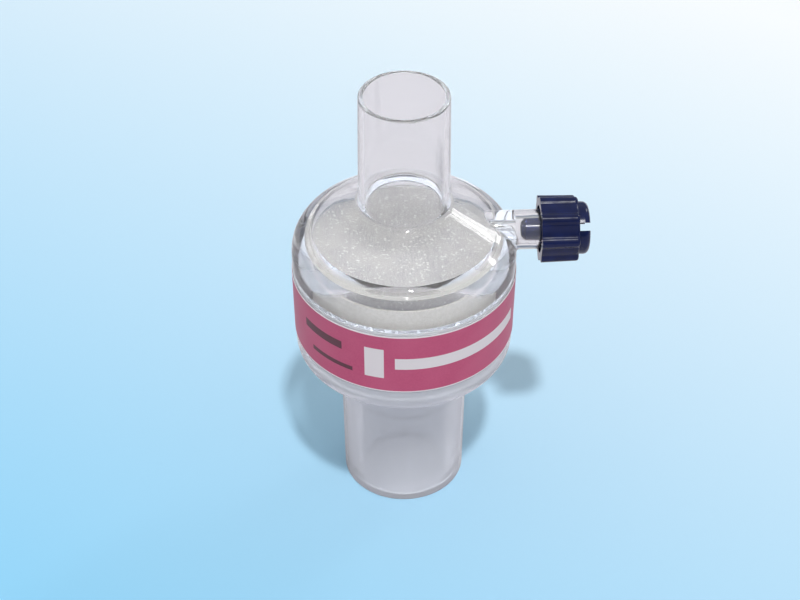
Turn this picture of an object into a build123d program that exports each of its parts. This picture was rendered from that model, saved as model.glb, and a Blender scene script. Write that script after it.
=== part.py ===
"""Small breathing circuit filter with a sampling port on its shoulder.

Two clear mouldings hold a filter felt and a heat and moisture exchange roll.
The origin is the centre of the lower tube's rim, +Z runs up the airway and +X runs
along the sampling port. All lengths are in millimetres.
"""

import os
from math import cos, degrees, radians, sin, tan

from build123d import *

# Airway cones: the diameter grows by 1 in 40, so the radius grows by 1 in 80
cone_rate = 1 / 80

# Lower tube: 22 mm male outside, 15 mm female inside
total_height = 82.0
patient_tip_radius = 10.925
patient_socket_radius = 7.75
patient_socket_depth = 18.9
patient_stop_chamfer = 1.0
lower_bore_radius = 6.5
rim_round = 0.5

# Upper tube: 15 mm male
machine_tip_radius = 7.535
machine_wall = 0.85
machine_rim_round = 0.3

# Body heights above the lower rim
floor_height = 29.2
floor_drop = 1.1
seam_height = 47.9
body_radius = 19.25
body_draft_angle = 0.77
body_wall = 1.6
bottom_round = 4.0
floor_wall = 1.8
lower_root_round = 1.0

# Shoulder and shallow cone of the upper moulding, which rises from the seam to the tube
cone_slope_angle = 31.8
cone_rise = 13.15
shoulder_round = 5.5
upper_root_round = 1.3
cone_wall = 1.5
seam_bevel = 0.15

# Spigot of the upper moulding, which telescopes into the lower cup
spigot_clearance = 0.05
spigot_wall = 1.5
spigot_length = 9.9

# Felt and roll inside
seat_drop = 2.1
seat_width = 0.8
felt_thickness = 2.0
media_clearance = 0.08
support_height = 35.4

# Support ribs on the floor of the lower cup
rib_count = 8
rib_thickness = 1.2
rib_reach = 0.6

# Label round the cup
label_lift = 0.065
label_thickness = 0.075
label_below_seam = 0.6
label_width = 12.4
label_gap = 2.0

# Sampling port: 6 percent female cone with two locking lugs
port_above_seat = 1.5
port_radius = 3.4
port_root_round = 0.4
port_mouth = 26.9
port_cone_radius = 2.15
port_cone_depth = 8.0
port_cone_rate = 0.03
port_hole_radius = 1.2
lug_radius = 3.9
lug_width = 3.6
lug_length = 2.0

# Cap of the sampling port
cap_cone_clearance = 0.02
cap_floor_gap = 1.0
cap_cone_engagement = 7.0
cap_tip_bevel = 0.7
cap_tip_hole_radius = 0.9
cap_tip_hole_depth = 6.0
cap_skirt_length = 4.85
cap_floor = 1.6
cap_lug_clearance = 0.15
cap_valley_radius = 5.35
cap_rib_count = 8
cap_rib_radius = 1.15
cap_crest_radius = 5.95
cap_valley_round = 0.6
cap_draft = 1.2
cap_edge_round = 0.5
grip_radius = 4.5
grip_wall = 1.5
grip_length = 1.9
grip_slot = 1.35
grip_outer_round = 1.0
grip_inner_round = 0.3
slot_turn = 50.5
rib_turn = 35.0


def tapered(radius, height):
    """Radius of a standard cone that has the given radius at height 0."""
    return radius + cone_rate * height


def round_corner(sketch, point, radius):
    """Round the corner of a sketch that lies nearest to a point of its plane."""
    corner = sketch.vertices().sort_by_distance((*point, 0))[0]
    fillet(corner, radius)


# Upper moulding: tube, shallow cone, rounded shoulder, spigot and port
slope = tan(radians(cone_slope_angle))
cone_height = seam_height + cone_rise
machine_root_radius = tapered(machine_tip_radius, total_height - cone_height)
shoulder_height = cone_height - slope * (body_radius - machine_root_radius)
inner_drop = cone_wall / cos(radians(cone_slope_angle))
machine_bore_radius = machine_tip_radius - machine_wall
cup_radius = body_radius - body_wall
spigot_radius = cup_radius - spigot_clearance
chamber_radius = spigot_radius - spigot_wall
seat_radius = chamber_radius - seat_width
spigot_end = seam_height - spigot_length


def under_cone(radius):
    """Height of the cone's inner face at a radius."""
    return cone_height - slope * (radius - machine_root_radius) - inner_drop


seat_height = under_cone(seat_radius) - seat_drop
port_height = seat_height + port_above_seat

with BuildPart() as upper_housing:
    # Outside of the tube, the shallow cone, the shoulder and the spigot
    with BuildSketch(Plane.XZ) as outside:
        with BuildLine():
            Polyline(
                (0, total_height),
                (machine_tip_radius, total_height),
                (machine_root_radius, cone_height),
                (body_radius, shoulder_height),
                (body_radius, seam_height + seam_bevel),
                (body_radius - seam_bevel, seam_height),
                (spigot_radius, seam_height),
                (spigot_radius, spigot_end),
                (0, spigot_end),
                close=True,
            )
        make_face()
        round_corner(outside, (machine_root_radius, cone_height), upper_root_round)
        round_corner(outside, (body_radius, shoulder_height), shoulder_round)
        round_corner(outside, (spigot_radius, spigot_end), spigot_wall / 3)
    revolve(axis=Axis.Z)
    # The port's tube grows out of the shoulder, with a round at its root
    with BuildSketch(Plane.YZ):
        with Locations((0, port_height)):
            Circle(port_radius)
    extrude(amount=port_mouth)
    fillet(upper_housing.edges(Select.NEW), port_root_round)
    # Bore, space under the cone, seat of the felt and chamber
    with BuildSketch(Plane.XZ) as inside:
        with BuildLine():
            Polyline(
                (0, total_height),
                (machine_bore_radius, total_height),
                (machine_bore_radius, under_cone(machine_bore_radius)),
                (seat_radius, under_cone(seat_radius)),
                (seat_radius, seat_height),
                (chamber_radius, seat_height),
                (chamber_radius, spigot_end),
                (0, spigot_end),
                close=True,
            )
        make_face()
        under_bore = (machine_bore_radius, under_cone(machine_bore_radius))
        round_corner(inside, under_bore, machine_wall)
    revolve(axis=Axis.Z, mode=Mode.SUBTRACT)
    fillet(upper_housing.edges().group_by(Axis.Z)[-1], machine_rim_round)
    # Two lugs at the port's mouth take the cap's thread
    with BuildSketch(Plane.YZ.offset(port_mouth - lug_length)):
        with Locations((0, port_height)):
            Circle(lug_radius)
            Rectangle(2 * lug_radius, lug_width, mode=Mode.INTERSECT)
    extrude(amount=lug_length)
    # Female cone, narrowing inwards, and the small hole into the chamber
    port_cone_end = port_mouth - port_cone_depth
    with BuildSketch(Plane.XZ):
        with BuildLine():
            Polyline(
                (port_mouth, port_height),
                (port_mouth, port_height + port_cone_radius),
                (port_cone_end, port_height + port_cone_radius - port_cone_rate * port_cone_depth),
                (port_cone_end, port_height + port_hole_radius),
                (0, port_height + port_hole_radius),
                (0, port_height),
                close=True,
            )
        make_face()
    revolve(axis=Axis((0, 0, port_height), (1, 0, 0)), mode=Mode.SUBTRACT)
upper_housing.part.label = "upper_housing"


# Lower moulding: cup, sloped floor and the lower tube in one section
foot_radius = body_radius - tan(radians(body_draft_angle)) * (seam_height - floor_height)
patient_root_height = floor_height - floor_drop
patient_root_radius = tapered(patient_tip_radius, patient_root_height)
stop_radius = tapered(patient_socket_radius, -patient_socket_depth)
cup_floor = floor_height + floor_wall
bore_floor = patient_root_height + floor_wall

with BuildPart() as lower_housing:
    with BuildSketch(Plane.XZ) as section:
        with BuildLine():
            Polyline(
                (patient_socket_radius, 0),
                (patient_tip_radius, 0),
                (patient_root_radius, patient_root_height),
                (foot_radius, floor_height),
                (body_radius, seam_height - seam_bevel),
                (body_radius - seam_bevel, seam_height),
                (cup_radius, seam_height),
                (cup_radius, cup_floor),
                (lower_bore_radius, bore_floor),
                (lower_bore_radius, patient_socket_depth + patient_stop_chamfer),
                (stop_radius - patient_stop_chamfer / 2, patient_socket_depth),
                (stop_radius, patient_socket_depth),
                close=True,
            )
        make_face()
        round_corner(section, (patient_socket_radius, 0), rim_round)
        round_corner(section, (patient_tip_radius, 0), rim_round)
        round_corner(section, (patient_root_radius, patient_root_height), lower_root_round)
        round_corner(section, (foot_radius, floor_height), bottom_round)
        round_corner(section, (cup_radius, cup_floor), bottom_round - body_wall)
        round_corner(section, (lower_bore_radius, bore_floor), floor_wall / 2)
    revolve(axis=Axis.Z)
    # Radial ribs hold the roll off the floor, so that gas reaches all of it
    rib_outer = chamber_radius - rib_reach
    rib_inner = lower_bore_radius + 2 * rib_reach
    with BuildSketch(Plane.XY.offset(support_height)):
        with PolarLocations((rib_inner + rib_outer) / 2, rib_count):
            Rectangle(rib_outer - rib_inner, rib_thickness)
    extrude(until=Until.NEXT, dir=(0, 0, -1))
lower_housing.part.label = "lower_housing"


# Felt under the seat, and the roll between the felt and the ribs
media_radius = chamber_radius - media_clearance
felt_underside = seat_height - felt_thickness

with BuildPart() as filter_felt:
    with BuildSketch(Plane.XY.offset(felt_underside)):
        Circle(media_radius)
    extrude(amount=felt_thickness)
filter_felt.part.label = "filter_felt"

with BuildPart() as moisture_roll:
    with BuildSketch(Plane.XY.offset(support_height)):
        Circle(media_radius)
    extrude(amount=felt_underside - support_height)
moisture_roll.part.label = "moisture_roll"


# Label: a thin band that follows the cup's draft, with a gap at the back
def cup_wall_radius(height):
    """Outer radius of the cup at a height between its foot and the seam."""
    fall = (body_radius - foot_radius) / (seam_height - seam_bevel - floor_height)
    return body_radius - fall * (seam_height - seam_bevel - height)


label_top = seam_height - label_below_seam
label_foot = label_top - label_width
label_half_gap = degrees(label_gap / 2 / body_radius)
label_foot_radius = cup_wall_radius(label_foot) + label_lift
label_top_radius = cup_wall_radius(label_top) + label_lift

with BuildPart() as label_band:
    with BuildSketch(Plane.XZ.rotated((0, 0, 90 + label_half_gap))):
        with BuildLine():
            Polyline(
                (label_foot_radius, label_foot),
                (label_foot_radius + label_thickness, label_foot),
                (label_top_radius + label_thickness, label_top),
                (label_top_radius, label_top),
                close=True,
            )
        make_face()
    revolve(axis=Axis.Z, revolution_arc=360 - 2 * label_half_gap)
label_band.part.label = "label_band"


# Cap: lobed skirt, male cone inside it and a slotted grip on its closed end
cap_floor_face = port_mouth + cap_floor_gap
cap_open_end = cap_floor_face - cap_skirt_length
cap_closed_end = cap_floor_face + cap_floor
cap_tip = port_mouth - cap_cone_engagement
cap_bore_radius = lug_radius + cap_lug_clearance


def male_cone_radius(place):
    """Radius of the cap's cone at a place along X, a clearance inside the port's."""
    return port_cone_radius - cap_cone_clearance + port_cone_rate * (place - port_mouth)


def cap_plane(place, turn):
    """Plane across the port at a place along X, turned from the airway's direction."""
    across = (0, -sin(radians(turn)), cos(radians(turn)))
    return Plane((place, 0, port_height), x_dir=across, z_dir=(1, 0, 0))


with BuildPart() as luer_cap:
    with BuildSketch(cap_plane(cap_open_end, rib_turn)) as lobes:
        Circle(cap_valley_radius)
        with PolarLocations(cap_crest_radius - cap_rib_radius, cap_rib_count):
            Circle(cap_rib_radius)
        fillet(lobes.vertices(), cap_valley_round)
    extrude(amount=cap_closed_end - cap_open_end, taper=cap_draft)
    closed_rim = luer_cap.faces().sort_by(Axis.X)[-1].edges()
    fillet(closed_rim, cap_edge_round)
    # Skirt bore
    with BuildSketch(cap_plane(cap_open_end, rib_turn)):
        Circle(cap_bore_radius)
    extrude(amount=cap_skirt_length, mode=Mode.SUBTRACT)
    # Male cone from the floor through the skirt, past the open end
    with BuildSketch(Plane.XZ):
        with BuildLine():
            Polyline(
                (cap_tip, port_height + cap_tip_hole_radius),
                (cap_tip, port_height + male_cone_radius(cap_tip) - cap_tip_bevel),
                (cap_tip + cap_tip_bevel, port_height + male_cone_radius(cap_tip)),
                (cap_floor_face, port_height + male_cone_radius(cap_floor_face)),
                (cap_floor_face, port_height),
                (cap_tip + cap_tip_hole_depth, port_height),
                (cap_tip + cap_tip_hole_depth, port_height + cap_tip_hole_radius),
                close=True,
            )
        make_face()
    revolve(axis=Axis((0, 0, port_height), (1, 0, 0)))
    # Ring on the closed end, cut by one slot into two finger grips
    with BuildSketch(cap_plane(cap_closed_end, slot_turn)):
        Circle(grip_radius)
        Circle(grip_radius - grip_wall, mode=Mode.SUBTRACT)
    extrude(amount=grip_length)
    grip_edges = luer_cap.faces().sort_by(Axis.X)[-1].edges().sort_by(SortBy.RADIUS)
    fillet(grip_edges[-1], grip_outer_round)
    fillet(grip_edges[0], grip_inner_round)
    with BuildSketch(cap_plane(cap_closed_end, slot_turn)):
        Rectangle(2 * grip_radius + grip_slot, grip_slot)
    extrude(amount=grip_length, mode=Mode.SUBTRACT)
luer_cap.part.label = "luer_cap"


os.makedirs("parts", exist_ok=True)
for piece in (upper_housing, lower_housing, filter_felt, moisture_roll, label_band, luer_cap):
    export_step(piece.part, f"parts/{piece.part.label}.step")
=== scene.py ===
"""Looks of a small clear breathing circuit filter: felt, paper roll, label and finishes.

Everything is in metres, in the frame of the solids: the lower tube's rim is at height 0,
+Z runs up the airway and +X runs along the sampling port. The two clear mouldings, the label
and the cap keep their solids and only get a finish. The felt and the roll are replaced by
meshes with surface relief that stay inside the same bounds.
"""

from math import cos, pi, radians, sin, tau

import bpy
import numpy as np
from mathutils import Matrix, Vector


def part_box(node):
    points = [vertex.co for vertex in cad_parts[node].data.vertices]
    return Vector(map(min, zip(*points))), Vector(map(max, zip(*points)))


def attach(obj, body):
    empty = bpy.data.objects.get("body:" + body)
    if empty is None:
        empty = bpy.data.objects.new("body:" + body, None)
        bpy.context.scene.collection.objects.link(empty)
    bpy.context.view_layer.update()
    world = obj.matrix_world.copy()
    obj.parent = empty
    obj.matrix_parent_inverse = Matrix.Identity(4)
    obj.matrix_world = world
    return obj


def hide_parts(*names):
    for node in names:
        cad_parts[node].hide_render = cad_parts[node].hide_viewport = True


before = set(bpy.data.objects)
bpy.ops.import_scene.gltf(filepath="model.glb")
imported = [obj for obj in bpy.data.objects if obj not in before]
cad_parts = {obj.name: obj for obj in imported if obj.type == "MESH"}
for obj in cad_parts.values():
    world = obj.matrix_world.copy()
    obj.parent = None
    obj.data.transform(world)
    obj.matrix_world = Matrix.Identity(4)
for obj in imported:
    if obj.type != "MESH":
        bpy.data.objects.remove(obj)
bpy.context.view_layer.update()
MM = 0.001

# The innermost row of points of a disc, as a share of its radius; the pole closes what is left.
FIRST_RING = 0.002


# Mesh helpers

def add_mesh(name, points, faces, smooth=True):
    """A mesh object from a sequence of points and one of faces, at the origin."""
    mesh = bpy.data.meshes.new(name)
    mesh.from_pydata(np.asarray(points).tolist(), [], [list(face) for face in faces])
    mesh.polygons.foreach_set("use_smooth", np.full(len(mesh.polygons), smooth))
    mesh.update()
    piece = bpy.data.objects.new(name, mesh)
    bpy.context.scene.collection.objects.link(piece)
    return piece


def cylinder_points(radius, angle, height):
    """Points of cylinder coordinates: radius times cosine and sine of the angle, and the height."""
    radius, angle, height = np.broadcast_arrays(radius, angle, height)
    return np.stack([radius * np.cos(angle), radius * np.sin(angle), height], -1).reshape(-1, 3)


def closed_disc(name, points, turns, pole_heights, smooth=True):
    """A closed mesh of rows of points that each run once round Z.

    The rows run from the centre of the top face over the edge to the centre of the underside,
    where a fan of triangles joins the last row to a pole, as it does at the top.
    """
    rows = len(points) // turns
    start = np.arange(rows - 1)[:, None] * turns
    here = np.arange(turns)[None, :]
    beside = (here + 1) % turns
    corners = [start + turns + here, start + turns + beside, start + beside, start + here]
    faces = np.stack(corners, -1).reshape(-1, 4).tolist()
    top_pole, under_pole, last = rows * turns, rows * turns + 1, (rows - 1) * turns
    faces += [[top_pole, i, (i + 1) % turns] for i in range(turns)]
    faces += [[under_pole, last + (i + 1) % turns, last + i] for i in range(turns)]
    poles = [[0, 0, height] for height in pole_heights]
    return add_mesh(name, np.concatenate([points, poles]), faces, smooth)


# Filter felt: a disc whose upper face is a little pillowed and wavy, between its seat and the roll

# Each wave of the top face: its phase per radius along X and along Y, its start and its weight.
FELT_WAVES = ((7.1, 2.3, 0, 1), (-4.7, 8.9, 1.3, 1), (17, -13, 0.7, 0.6), (11, 19, 2.1, 0.5))


def filter_felt():
    """Closed disc on a grid of profile steps and angles.

    The profile runs from the centre of the top face over the rounded edge to the centre of the
    underside. The top sinks by a smooth sum of sines of place, so that it stays under its seat.
    """
    low, high = (np.array(corner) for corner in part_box("filter_felt"))
    radius = (high[0] - low[0]) / 2
    edge_round = 0.35 * MM
    rings, turns, bend = 90, 240, 8
    out = np.linspace(FIRST_RING, 1, rings) * (radius - edge_round)
    arc = np.linspace(0, pi / 2, bend)[1:]
    top_radius = np.concatenate([out, radius - edge_round + edge_round * np.sin(arc)])
    top_height = np.concatenate([np.full(rings, high[2]), high[2] - edge_round * (1 - np.cos(arc))])
    profile_radius = np.concatenate([top_radius, top_radius[::-1]])
    profile_height = np.concatenate([top_height, high[2] + low[2] - top_height[::-1]])
    angle = np.linspace(0, tau, turns, endpoint=False)
    points = cylinder_points(profile_radius[:, None], angle[None, :], profile_height[:, None])

    deepest = 0.14 * MM
    flat_rim, rim_fade = 0.97, 0.1
    x, y = points[:, 0] / radius, points[:, 1] / radius
    wave = sum(weight * np.sin(over_x * x + over_y * y + start)
               for over_x, over_y, start, weight in FELT_WAVES)
    highest_wave = sum(weight for *_, weight in FELT_WAVES)
    inside = np.clip((flat_rim - np.hypot(x, y)) / rim_fade, 0, 1)
    upper = points[:, 2] > low[2] + (high[2] - low[2]) * 0.75
    points[:, 2] -= np.where(upper, deepest * inside * (0.5 + wave / (2 * highest_wave)), 0)

    piece = closed_disc("filter_felt_disc", points, turns, (points[:turns, 2].mean(), low[2]))
    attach(piece, "body")
    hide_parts("filter_felt")
    return piece


# Moisture roll: corrugated paper wound into a disc, which shows on the upper and lower faces

def moisture_roll():
    """Closed disc on a grid of profile steps and angles.

    Both faces carry the end of the wound paper: their height is a sine of the spiral's phase, the
    radius over the pitch less the turn, times a slower sine of the corrugation's waves.
    """
    low, high = (np.array(corner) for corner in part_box("moisture_roll"))
    radius = (high[0] - low[0]) / 2
    pitch = 1.5 * MM
    groove = 0.25 * MM
    waves = 64
    rings, turns = 120, 360
    out = np.linspace(FIRST_RING, 1, rings) * radius
    angle = np.linspace(0, tau, turns, endpoint=False)
    radii = np.concatenate([out, out[::-1]])[:, None]
    spiral = np.sin(tau * (radii / pitch - angle[None, :] / tau))
    flutes = 0.5 + 0.5 * np.sin(waves * angle[None, :])
    rim = np.clip((radius - radii) / pitch, 0, 1)
    relief = groove * rim * (0.5 + 0.5 * spiral * flutes)
    upper = np.arange(2 * rings)[:, None] < rings
    height = np.where(upper, high[2] - relief, low[2] + relief)
    points = cylinder_points(radii, angle[None, :], height)
    pole_heights = (high[2] - groove / 2, low[2] + groove / 2)
    piece = closed_disc("moisture_roll_winding", points, turns, pole_heights, smooth=False)
    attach(piece, "body")
    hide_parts("moisture_roll")
    return piece


# Material helpers

def new_material(name):
    """An empty node material with one Principled shader, as (material, nodes, links, shader)."""
    material = bpy.data.materials.new(name)
    material.use_nodes = True
    nodes, links = material.node_tree.nodes, material.node_tree.links
    nodes.clear()
    output = nodes.new("ShaderNodeOutputMaterial")
    shader = nodes.new("ShaderNodeBsdfPrincipled")
    links.new(shader.outputs["BSDF"], output.inputs["Surface"])
    return material, nodes, links, shader


def put(piece, material):
    """Gives a piece one material in place of what it has."""
    piece.data.materials.clear()
    piece.data.materials.append(material)


def math_node(nodes, links, operation, *values):
    """A Math node on sockets or numbers, as its output socket."""
    node = nodes.new("ShaderNodeMath")
    node.operation = operation
    for socket, value in zip(node.inputs, values):
        if isinstance(value, (int, float)):
            socket.default_value = value
        else:
            links.new(value, socket)
    return node.outputs[0]


def axes_of(nodes, links, place):
    """The X, Y and Z sockets of a place, by name."""
    split = nodes.new("ShaderNodeSeparateXYZ")
    links.new(place, split.inputs["Vector"])
    return split.outputs


def noise_node(nodes, links, vector, scale, detail, roughness):
    """A Noise Texture on a vector, as its factor socket."""
    node = nodes.new("ShaderNodeTexNoise")
    node.inputs["Scale"].default_value = scale
    node.inputs["Detail"].default_value = detail
    node.inputs["Roughness"].default_value = roughness
    links.new(vector, node.inputs["Vector"])
    return node.outputs["Fac"]


def range_node(nodes, links, value, low, high, to_low=0, to_high=1):
    """A clamped Map Range node, as its output socket."""
    node = nodes.new("ShaderNodeMapRange")
    for name, number in (("From Min", low), ("From Max", high), ("To Min", to_low), ("To Max", to_high)):
        node.inputs[name].default_value = number
    links.new(value, node.inputs["Value"])
    return node.outputs["Result"]


def mix_colour(nodes, links, mask, first, second):
    """A Mix node between two colours or colour sockets by a mask, as its colour socket."""
    node = nodes.new("ShaderNodeMix")
    node.data_type = "RGBA"
    links.new(mask, node.inputs["Factor"])
    for name, value in (("A", first), ("B", second)):
        socket = [s for s in node.inputs if s.name == name and s.type == "RGBA"][0]
        if isinstance(value, tuple):
            socket.default_value = (*value, 1)
        else:
            links.new(value, socket)
    return [s for s in node.outputs if s.type == "RGBA"][0]


def bump_node(nodes, links, height, strength, distance):
    """A Bump node on a height, as its normal socket."""
    node = nodes.new("ShaderNodeBump")
    node.inputs["Strength"].default_value = strength
    node.inputs["Distance"].default_value = distance
    links.new(height, node.inputs["Height"])
    return node.outputs["Normal"]


def surface_marks_group():
    """Shared effect: fine handling marks and slow moulding waves, from Object coordinates."""
    group = bpy.data.node_groups.new("surface_marks", "ShaderNodeTree")
    make = group.interface.new_socket
    make("Vector", in_out="INPUT", socket_type="NodeSocketVector")
    make("Mark Scale", in_out="INPUT", socket_type="NodeSocketFloat")
    make("Wave Scale", in_out="INPUT", socket_type="NodeSocketFloat")
    make("Marks", in_out="OUTPUT", socket_type="NodeSocketFloat")
    make("Waves", in_out="OUTPUT", socket_type="NodeSocketFloat")
    nodes, links = group.nodes, group.links
    entry, leave = nodes.new("NodeGroupInput"), nodes.new("NodeGroupOutput")
    marks = nodes.new("ShaderNodeTexNoise")
    marks.inputs["Detail"].default_value = 8
    marks.inputs["Roughness"].default_value = 0.65
    waves = nodes.new("ShaderNodeTexNoise")
    waves.inputs["Detail"].default_value = 1.5
    for node, scale, result in ((marks, "Mark Scale", "Marks"), (waves, "Wave Scale", "Waves")):
        links.new(entry.outputs["Vector"], node.inputs["Vector"])
        links.new(entry.outputs[scale], node.inputs["Scale"])
        links.new(node.outputs["Fac"], leave.inputs[result])
    return group


def add_marks(nodes, links, group, mark_scale, wave_scale):
    """The shared surface marks placed in a material, as (coordinates, marks, waves)."""
    place = nodes.new("ShaderNodeTexCoord").outputs["Object"]
    node = nodes.new("ShaderNodeGroup")
    node.node_tree = group
    node.inputs["Mark Scale"].default_value = mark_scale
    node.inputs["Wave Scale"].default_value = wave_scale
    links.new(place, node.inputs["Vector"])
    return place, node.outputs["Marks"], node.outputs["Waves"]


# Finishes of the clear mouldings. body_pass and TUBE_PASS are the shares of a shadow ray that one
# wall lets through, below and above the heights of TUBE_ROOT.

CLEAR_UPPER = {"tint": (0.97, 0.97, 0.975), "clearness": 0.975, "haze": 0.03, "body_pass": 0.88}
CLEAR_LOWER = {"tint": (0.925, 0.955, 1.0), "clearness": 0.62, "haze": 0.07, "body_pass": 0.68}
PLASTIC_IOR = 1.4
TUBE_PASS = 0.99
TUBE_ROOT = (56 * MM, 62 * MM)


def clear_plastic(name, group, tint, clearness, haze, body_pass):
    """Clear polished moulding: a little milky, with faint haze and sink waves.

    Shadow rays pass it in part, and nearly wholly in the thin upper tube.
    """
    material, nodes, links, shader = new_material(name)
    place, marks, waves = add_marks(nodes, links, group, 900, 140)
    shader.inputs["Transmission Weight"].default_value = clearness
    shader.inputs["IOR"].default_value = PLASTIC_IOR
    links.new(range_node(nodes, links, marks, 0.35, 0.7, haze * 0.6, haze * 1.6), shader.inputs["Roughness"])
    darker = tuple(channel * 0.985 for channel in tint)
    links.new(mix_colour(nodes, links, waves, tint, darker), shader.inputs["Base Color"])
    links.new(bump_node(nodes, links, waves, 0.12, 0.2 * MM), shader.inputs["Normal"])
    shadow = nodes.new("ShaderNodeLightPath").outputs["Is Shadow Ray"]
    height = axes_of(nodes, links, place)["Z"]
    passed = range_node(nodes, links, height, *TUBE_ROOT, body_pass, TUBE_PASS)
    shade = math_node(nodes, links, "MULTIPLY", shadow, passed)
    links.new(math_node(nodes, links, "SUBTRACT", 1.0, shade), shader.inputs["Alpha"])
    return material


# Finishes of the felt and the paper roll

# Each layer of fibres: its turn round Z in radians and its scale of noise.
FIBRE_LAYERS = ((0.4, 5200), (1.5, 4300), (2.5, 4800))
FIBRE_STRETCH = 0.09
# The felt colours are written darker than the real off-white felt: painted shade that offsets the light
# reaching the felt twice, through the clear walls' shadow rays and through refraction.
FELT_GAP = (0.27, 0.268, 0.274)
FELT_FIBRE = (0.39, 0.388, 0.392)
FELT_CLOUD = (0.35, 0.345, 0.345)
FELT_FLECK = (0.64, 0.64, 0.64)
PAPER_DARK = (0.7, 0.69, 0.65)
PAPER_LIGHT = (0.82, 0.81, 0.78)


def felt_finish(group):
    """Non-woven felt, coloured darker than its real off-white as painted shade that offsets the light
    reaching it twice: crossing fibres, small bright flecks and a soft sheen.
    """
    material, nodes, links, shader = new_material("filter_felt")
    place, marks, waves = add_marks(nodes, links, group, 1600, 260)
    fibres = []
    for turn, scale in FIBRE_LAYERS:
        mapping = nodes.new("ShaderNodeMapping")
        mapping.inputs["Rotation"].default_value = (0, 0, turn)
        mapping.inputs["Scale"].default_value = (1, FIBRE_STRETCH, 1)
        links.new(place, mapping.inputs["Vector"])
        fibres.append(noise_node(nodes, links, mapping.outputs["Vector"], scale, 2, 0.6))
    weave = math_node(nodes, links, "MAXIMUM", math_node(nodes, links, "MAXIMUM", *fibres[:2]), fibres[2])
    flecks = range_node(nodes, links, noise_node(nodes, links, place, 2300, 1.5, 0.5), 0.6, 0.76)
    base = mix_colour(nodes, links, range_node(nodes, links, weave, 0.45, 0.75), FELT_GAP, FELT_FIBRE)
    cloudy = mix_colour(nodes, links, range_node(nodes, links, waves, 0.35, 0.65), base, FELT_CLOUD)
    links.new(mix_colour(nodes, links, flecks, cloudy, FELT_FLECK), shader.inputs["Base Color"])
    links.new(range_node(nodes, links, marks, 0.3, 0.7, 0.8, 1), shader.inputs["Roughness"])
    shader.inputs["Sheen Weight"].default_value = 0.25
    height = math_node(nodes, links, "ADD", weave, flecks)
    links.new(bump_node(nodes, links, height, 0.5, 0.15 * MM), shader.inputs["Normal"])
    return material


def paper_finish(group):
    """Off-white absorbent paper of the roll, with fine fibres."""
    material, nodes, links, shader = new_material("roll_paper")
    _, marks, waves = add_marks(nodes, links, group, 2600, 300)
    links.new(mix_colour(nodes, links, range_node(nodes, links, marks, 0.35, 0.65), PAPER_DARK, PAPER_LIGHT),
              shader.inputs["Base Color"])
    links.new(range_node(nodes, links, waves, 0.3, 0.7, 0.75, 0.95), shader.inputs["Roughness"])
    links.new(bump_node(nodes, links, marks, 0.4, 0.08 * MM), shader.inputs["Normal"])
    return material


# Finish of the label

PINK = (0.49, 0.062, 0.165)
PINK_LIGHT = (0.53, 0.078, 0.185)
PINK_WORN = (0.56, 0.1, 0.21)
PRINT_WHITE = (0.76, 0.73, 0.75)
PRINT_DARK = (0.1, 0.02, 0.04)
EDGE_WHITE = (0.8, 0.76, 0.78)
EDGE_WIDTH = 0.22 * MM

# Each printed block: its angle in degrees from the front towards the port, its height over the
# label's middle, its width and its depth in mm.
WHITE_BLOCKS = ((31, 0.2, 26, 2.4), (-18, 0, 3.4, 6.4))
DARK_BLOCKS = ((-49, 1.8, 9, 1.7), (-43, -2.6, 9, 0.9))


def label_finish(group):
    """Pink satin film with thin white edge lines and plain printed blocks where words would stand."""
    material, nodes, links, shader = new_material("label_film")
    place, marks, waves = add_marks(nodes, links, group, 3200, 180)
    low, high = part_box("label_band")
    radius = high[0]
    middle = (low[2] + high[2]) / 2
    axes = axes_of(nodes, links, place)
    toward = math_node(nodes, links, "MULTIPLY", axes["Y"], -1.0)
    angle = math_node(nodes, links, "ARCTAN2", axes["X"], toward)
    along = math_node(nodes, links, "MULTIPLY", angle, radius)
    height = math_node(nodes, links, "SUBTRACT", axes["Z"], middle)

    def past(value, centre, width):
        """How far a place lies outside a stretch of one width round its centre."""
        off_centre = math_node(nodes, links, "SUBTRACT", value, centre)
        return math_node(nodes, links, "SUBTRACT", math_node(nodes, links, "ABSOLUTE", off_centre), width / 2)

    def block(centre_angle, centre_height, width, depth):
        """Mask of one printed block."""
        past_side = past(along, radians(centre_angle) * radius, width * MM)
        past_end = past(height, centre_height * MM, depth * MM)
        farthest = math_node(nodes, links, "MAXIMUM", past_side, past_end)
        return math_node(nodes, links, "LESS_THAN", farthest, 0.0)

    pink = mix_colour(nodes, links, range_node(nodes, links, marks, 0.4, 0.62), PINK, PINK_LIGHT)
    worn = mix_colour(nodes, links, range_node(nodes, links, waves, 0.4, 0.7, 0, 0.5), pink, PINK_WORN)
    off_middle = math_node(nodes, links, "ABSOLUTE", height)
    edge = math_node(nodes, links, "GREATER_THAN", off_middle, (high[2] - low[2]) / 2 - EDGE_WIDTH)
    colour = mix_colour(nodes, links, edge, worn, EDGE_WHITE)
    for blocks, ink in ((WHITE_BLOCKS, PRINT_WHITE), (DARK_BLOCKS, PRINT_DARK)):
        for measures in blocks:
            colour = mix_colour(nodes, links, block(*measures), colour, ink)
    links.new(colour, shader.inputs["Base Color"])
    links.new(range_node(nodes, links, marks, 0.3, 0.7, 0.38, 0.5), shader.inputs["Roughness"])
    links.new(bump_node(nodes, links, marks, 0.15, 0.04 * MM), shader.inputs["Normal"])
    return material


# Finish of the cap

NAVY = (0.002, 0.006, 0.045)
NAVY_LIGHT = (0.003, 0.009, 0.065)


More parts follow.
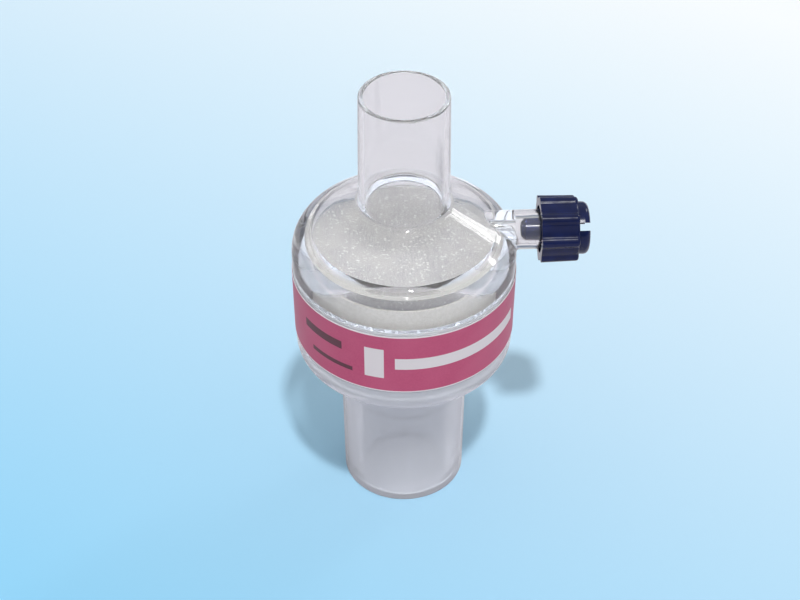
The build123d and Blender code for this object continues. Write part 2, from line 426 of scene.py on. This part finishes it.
def cap_finish(group):
    """Navy moulded plastic: glossy, with faint flow marks and slight wear."""
    material, nodes, links, shader = new_material("cap_plastic")
    _, marks, waves = add_marks(nodes, links, group, 1400, 420)
    links.new(mix_colour(nodes, links, range_node(nodes, links, waves, 0.35, 0.65), NAVY, NAVY_LIGHT),
              shader.inputs["Base Color"])
    links.new(range_node(nodes, links, marks, 0.35, 0.7, 0.14, 0.24), shader.inputs["Roughness"])
    shader.inputs["Specular IOR Level"].default_value = 0.3
    links.new(bump_node(nodes, links, waves, 0.15, 0.1 * MM), shader.inputs["Normal"])
    return material


# Camera: fitted to the photograph. Its angles are in degrees.

CAMERA_DISTANCE = 324.5 * MM
CAMERA_PITCH = 40.15
CAMERA_TURN = 3.0
CAMERA_PAN = -0.16
AIM_HEIGHT = 39.1 * MM
FOCAL_PIXELS = 1850
IMAGE_WIDTH = 800
SENSOR_WIDTH = 36


def add_camera():
    """The photograph's view: a pinhole camera round the airway's axis, looking down on the object."""
    data = bpy.data.cameras.new("camera")
    data.sensor_width = SENSOR_WIDTH
    data.lens = FOCAL_PIXELS / IMAGE_WIDTH * SENSOR_WIDTH
    data.clip_start = 10 * MM
    camera = bpy.data.objects.new("camera", data)
    bpy.context.scene.collection.objects.link(camera)
    turn, pitch = radians(CAMERA_TURN), radians(CAMERA_PITCH)
    flat = CAMERA_DISTANCE * cos(pitch)
    camera.location = (-flat * sin(turn), -flat * cos(turn), AIM_HEIGHT + CAMERA_DISTANCE * sin(pitch))
    camera.rotation_euler = (pi / 2 - pitch, 0, -radians(CAMERA_TURN + CAMERA_PAN))
    bpy.context.scene.camera = camera


# Lamps: each stands round the body by azimuth and elevation in degrees, and distance in metres.
# Azimuth 0 is the camera's side and 90 is to its right.

KEY_PLACE = (9, 66.7, 1.1)
KEY_STRENGTH = 1.62
KEY_WIDTH = 3.6
STRIP_PLACE = (130, 30, 0.9)
STRIP_RADIANCE = 7.5
STRIP_WIDTH = 0.09
STRIP_LENGTH = 0.4


def place_light(data, azimuth, elevation, distance):
    """Adds a lamp at its place, aimed at the middle of the object."""
    light = bpy.data.objects.new(data.name, data)
    bpy.context.scene.collection.objects.link(light)
    side, up = radians(azimuth), radians(elevation)
    away = Vector((sin(side) * cos(up), -cos(side) * cos(up), sin(up)))
    light.location = Vector((0, 0, AIM_HEIGHT)) + away * distance
    light.rotation_euler = away.to_track_quat("Z", "Y").to_euler()


def add_key():
    """The main lamp, far off and high in front, which casts the soft-edged shadow."""
    data = bpy.data.lights.new("key", "SUN")
    data.energy = KEY_STRENGTH
    data.angle = radians(KEY_WIDTH)
    place_light(data, *KEY_PLACE)


def add_back_strip():
    """A low strip behind the right shoulder, which draws the streak on the clear cone."""
    data = bpy.data.lights.new("back_strip", "AREA")
    data.shape = "RECTANGLE"
    data.size = STRIP_WIDTH
    data.size_y = STRIP_LENGTH
    data.energy = STRIP_RADIANCE * pi * STRIP_WIDTH * STRIP_LENGTH
    place_light(data, *STRIP_PLACE)


# Floor and surroundings

FLOOR_HALF = 3.0
# Painted light: the camera sees the floor dim blue towards the front left and brighter white towards the back
# right.
FLOOR_BLUE_DIM = (0.28, 0.61, 0.86)
FLOOR_WHITE_LIT = (0.815, 0.845, 0.87)
FLOOR_UNSEEN = (0.665, 0.656, 0.712)
# The floor's fade is painted light, from dim blue at the front left to lit white at the back right: it runs
# over the X weight times X plus the Y weight times Y, from the first value of the range to the second.
LIGHT_FADE_X, LIGHT_FADE_Y = 1.5, 2.1
LIGHT_FADE_RANGE = (-0.165, 0.475)
SKY_LOW = (0.2, 0.27, 0.4)
SKY_HIGH = (1.0, 1.0, 0.97)
SKY_SEEN = (0.9, 1.1, 1.3)
SKY_RANGE = (0.1, 0.5)
SKY_STRENGTH = 0.66


def add_floor():
    """Plain pale floor: the camera sees it fade from dim blue to brighter white, a painted falloff of light,
    and all other rays see it grey.
    """
    corners = [(-FLOOR_HALF, -FLOOR_HALF, 0), (FLOOR_HALF, -FLOOR_HALF, 0),
               (FLOOR_HALF, FLOOR_HALF, 0), (-FLOOR_HALF, FLOOR_HALF, 0)]
    floor = add_mesh("floor", corners, [(0, 1, 2, 3)], smooth=False)
    material, nodes, links, shader = new_material("floor_card")
    place = nodes.new("ShaderNodeTexCoord").outputs["Object"]
    axes = axes_of(nodes, links, place)
    across = math_node(nodes, links, "MULTIPLY", axes["X"], LIGHT_FADE_X)
    away = math_node(nodes, links, "MULTIPLY", axes["Y"], LIGHT_FADE_Y)
    # Painted light: the floor brightens from blue to white towards the back right, for camera rays only.
    painted_light_fade = range_node(nodes, links, math_node(nodes, links, "ADD", across, away), *LIGHT_FADE_RANGE)
    seen = mix_colour(nodes, links, painted_light_fade, FLOOR_BLUE_DIM, FLOOR_WHITE_LIT)
    direct = nodes.new("ShaderNodeLightPath").outputs["Is Camera Ray"]
    links.new(mix_colour(nodes, links, direct, FLOOR_UNSEEN, seen), shader.inputs["Base Color"])
    shader.inputs["Roughness"].default_value = 0.9
    shader.inputs["Specular IOR Level"].default_value = 0.1
    put(floor, material)


def add_world():
    """Pale studio light that falls off to a darker, bluer rim; the camera sees it plain pale blue."""
    world = bpy.data.worlds.new("studio")
    bpy.context.scene.world = world
    world.use_nodes = True
    nodes, links = world.node_tree.nodes, world.node_tree.links
    background = nodes["Background"]
    direction = nodes.new("ShaderNodeTexCoord").outputs["Generated"]
    above = range_node(nodes, links, axes_of(nodes, links, direction)["Z"], *SKY_RANGE)
    sky = mix_colour(nodes, links, above, SKY_LOW, SKY_HIGH)
    direct = nodes.new("ShaderNodeLightPath").outputs["Is Camera Ray"]
    links.new(mix_colour(nodes, links, direct, sky, SKY_SEEN), background.inputs["Color"])
    background.inputs["Strength"].default_value = SKY_STRENGTH


def let_light_through():
    """Enough light bounces for the nested clear walls, so that none of them turns black."""
    cycles = bpy.context.scene.cycles
    cycles.max_bounces = 28
    cycles.glossy_bounces = 20
    cycles.transmission_bounces = 28
    cycles.transparent_max_bounces = 48


marks_group = surface_marks_group()
put(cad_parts["upper_housing"], clear_plastic("clear_upper", marks_group, **CLEAR_UPPER))
put(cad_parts["lower_housing"], clear_plastic("clear_lower", marks_group, **CLEAR_LOWER))
put(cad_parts["luer_cap"], cap_finish(marks_group))
put(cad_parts["label_band"], label_finish(marks_group))
put(filter_felt(), felt_finish(marks_group))
put(moisture_roll(), paper_finish(marks_group))

add_camera()
add_floor()
add_world()
let_light_through()
add_key()
add_back_strip()
bpy.context.scene.view_settings.view_transform = "Standard"
